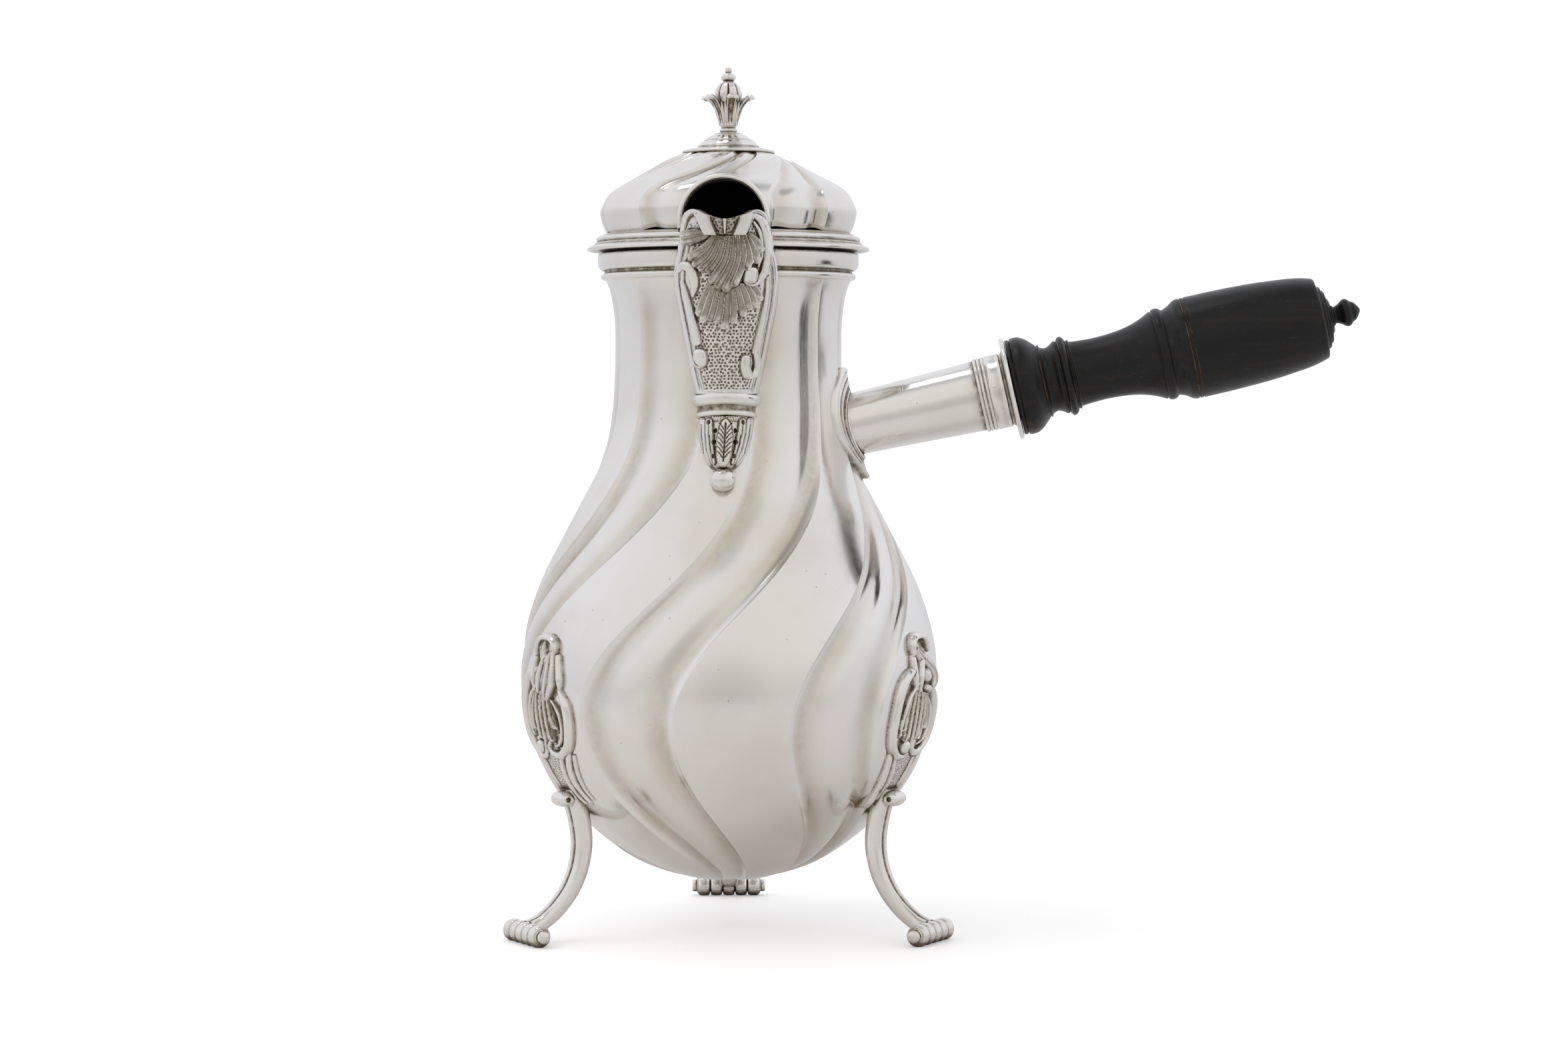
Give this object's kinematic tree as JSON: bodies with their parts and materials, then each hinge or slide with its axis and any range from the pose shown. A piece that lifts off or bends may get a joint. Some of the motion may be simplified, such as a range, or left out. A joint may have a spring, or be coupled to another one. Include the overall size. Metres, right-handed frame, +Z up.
{
  "type": "side-handled coffee pot",
  "caption": "Pear-shaped side-handled silver coffee pot with swirled flutes, scroll legs, a short spout, a turned wooden handle and a hinged domed lid.",
  "frame": {"origin": "where the pot's axis meets the surface it stands on", "axes": "+Z up the pot's axis, -Y towards the spout, +X towards the side handle, +Y towards the lid's hinge"},
  "size_m": [0.2749, 0.1459, 0.28],
  "materials": {
    "raised_silver": "polished",
    "silver": "polished",
    "silver_fittings": "satin",
    "blackened_wood": "polished"
  },
  "bodies": {
    "pot": {"body_shell": "raised_silver", "neck_collar": "silver", "spout_channel": "silver", "spout_band": "silver", "spout_calyx": "silver", "spout_ball": "silver", "spout_scallop": "silver", "spout_scroll_left": "silver", "spout_scroll_right": "silver", "handle_escutcheon": "silver", "handle_socket": "silver", "socket_disc": "silver", "socket_pins": "silver_fittings", "front_left_leg": "silver", "front_right_leg": "silver", "back_leg": "silver", "front_left_cartouche": "silver", "front_right_cartouche": "silver", "back_cartouche": "silver", "front_left_toe_roll": "silver", "front_right_toe_roll": "silver", "back_toe_roll": "silver", "hinge_bracket": "silver", "hinge_pin": "silver_fittings", "wood_handle": "blackened_wood", "handle_button": "blackened_wood"},
    "lid": {"lid_dome": "raised_silver", "lid_rim": "silver", "lid_bezel": "silver", "lid_visor": "silver", "lid_hinge_strap": "silver", "finial_plate": "silver", "finial_calyx": "silver", "finial_bud": "silver", "finial_stud": "silver_fittings", "finial_nut": "silver_fittings"}
  },
  "joints": [
    {"name": "lid_hinge", "type": "hinge", "parent": "pot", "child": "lid", "pos_m": [0, 0.0486, 0.22], "axis": [-1, 0, 0], "range_deg": [0, 100]}
  ]
}
